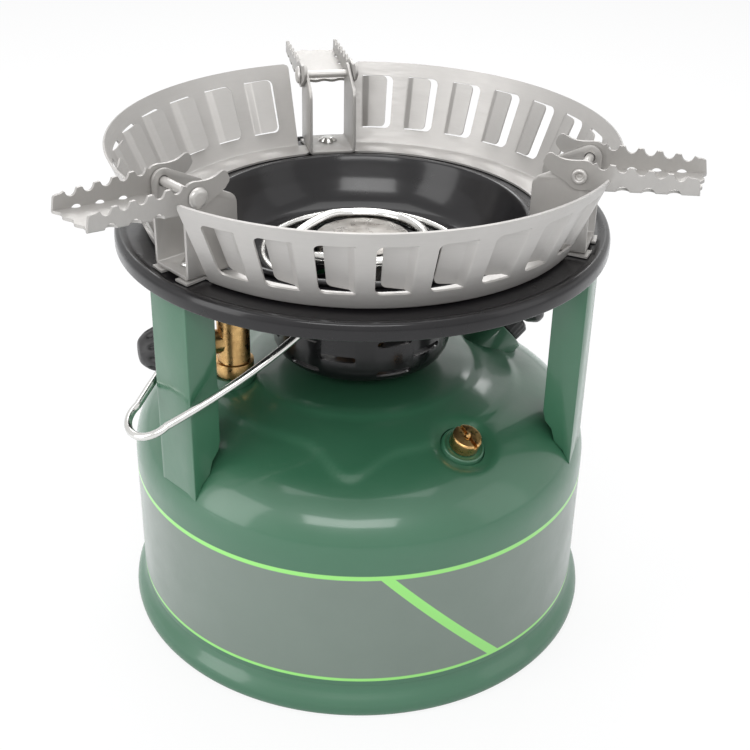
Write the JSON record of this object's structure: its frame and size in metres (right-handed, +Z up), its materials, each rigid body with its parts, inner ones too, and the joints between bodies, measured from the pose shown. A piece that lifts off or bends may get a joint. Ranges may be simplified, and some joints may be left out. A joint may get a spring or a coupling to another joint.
{
  "type": "petrol camping stove",
  "caption": "Portable petrol stove: round pressurised tank, hand pump, needle valve, slotted burner cup in a bowl, louvred windscreen, folding pot supports and a wire bail.",
  "frame": {"origin": "centre of the tank base's flat underside, which stands on the ground", "axes": "+Z up along the tank's axis, -Y towards the viewer of the front, +X to that viewer's right"},
  "size_m": [0.1995, 0.198, 0.1836],
  "materials": {
    "green_paint": "gloss dark green paint",
    "black_enamel": "gloss black enamel",
    "satin_steel": "satin stainless sheet",
    "bright_steel": "polished plated steel",
    "brass": "turned brass",
    "black_plastic": "satin heat-proof plastic",
    "rubber": "matt",
    "leather": "oiled"
  },
  "bodies": {
    "stove": {"bail_lug_front": "black_enamel", "bail_lug_rear": "black_enamel", "bracket_back": "satin_steel", "bracket_left": "satin_steel", "bracket_right": "satin_steel", "burner_bell": "satin_steel", "burner_bowl": "black_enamel", "burner_cup": "black_enamel", "filler_neck": "green_paint", "flame_ring": "bright_steel", "flame_spreader": "satin_steel", "generator_tube": "bright_steel", "jet": "brass", "jet_block": "brass", "leg_back": "green_paint", "leg_left": "green_paint", "leg_right": "green_paint", "packing_nut": "brass", "pickup_tube": "brass", "pivot_pin_back": "bright_steel", "pivot_pin_left": "bright_steel", "pivot_pin_right": "bright_steel", "pump_barrel": "brass", "pump_bung": "green_paint", "pump_cap": "black_plastic", "pump_check_valve": "brass", "relief_body": "brass", "relief_bung": "green_paint", "relief_spring": "bright_steel", "rivet_back": "bright_steel", "rivet_left": "bright_steel", "rivet_right": "bright_steel", "tank_base": "green_paint", "tank_shell": "green_paint", "tray": "black_enamel", "valve_body": "brass", "valve_bung": "green_paint", "windscreen_back": "satin_steel", "windscreen_left": "satin_steel", "windscreen_right": "satin_steel"},
    "pot_support_left": {"pot_support_left": "satin_steel"},
    "pot_support_right": {"pot_support_right": "satin_steel"},
    "pot_support_back": {"pot_support_back": "satin_steel"},
    "bail": {"wire_bail": "bright_steel"},
    "flame_control": {"control_knob": "black_plastic", "valve_spindle": "brass"},
    "pump_plunger": {"pump_rod": "bright_steel", "pump_piston": "leather", "pump_knob": "black_plastic"},
    "filler_gasket": {"filler_gasket": "rubber"},
    "filler_cap": {"filler_cap": "black_plastic"},
    "relief_pin": {"relief_pin": "brass"}
  },
  "joints": [
    {"name": "pot_support_left_fold", "type": "hinge", "parent": "stove", "child": "pot_support_left", "pos_m": [-0.05571, -0.04946, 0.1773], "axis": [-0.6639, 0.7478, 0], "range_deg": [0, 175]},
    {"name": "pot_support_right_fold", "type": "hinge", "parent": "stove", "child": "pot_support_right", "pos_m": [0.07069, -0.02352, 0.1773], "axis": [-0.3156, -0.9489, 0], "range_deg": [0, 175]},
    {"name": "pot_support_back_fold", "type": "hinge", "parent": "stove", "child": "pot_support_back", "pos_m": [-0.01498, 0.07298, 0.1773], "axis": [0.9796, 0.2011, 0], "range_deg": [0, 175]},
    {"name": "bail_swing", "type": "hinge", "parent": "stove", "child": "bail", "pos_m": [-0.03141, -0.02789, 0.1275], "axis": [-0.6639, 0.7478, 0], "range_deg": [0, 44]},
    {"name": "flame_control_turn", "type": "hinge", "parent": "stove", "child": "flame_control", "pos_m": [-0.06657, -0.02163, 0.10788], "axis": [-0.9511, -0.309, 0], "range_deg": [0, 450]},
    {"name": "pump_stroke", "type": "slide", "parent": "stove", "child": "pump_plunger", "axis": [0.6885, 0.3358, 0.6428], "range_m": [0, 0.035]},
    {"name": "filler_lift", "type": "slide", "parent": "stove", "child": "filler_gasket", "axis": [0.0943, 0.3288, 0.9397], "range_m": [0, 0.00405]},
    {"name": "filler_cap_turn", "type": "hinge", "parent": "filler_gasket", "child": "filler_cap", "pos_m": [0.01509, 0.05262, 0.09829], "axis": [0.0943, 0.3288, 0.9397], "range_deg": [0, 720]},
    {"name": "relief_press", "type": "slide", "parent": "stove", "child": "relief_pin", "axis": [-0.2391, 0.3291, -0.9135], "range_m": [0, 0.0012], "stiffness_N_per_m": 400, "springref_m": -0.002, "deforming": ["relief_spring"]}
  ],
  "couplings": [
    {"joint": "filler_lift", "follows": "filler_cap_turn", "m_per_rad": 0.00031831}
  ]
}
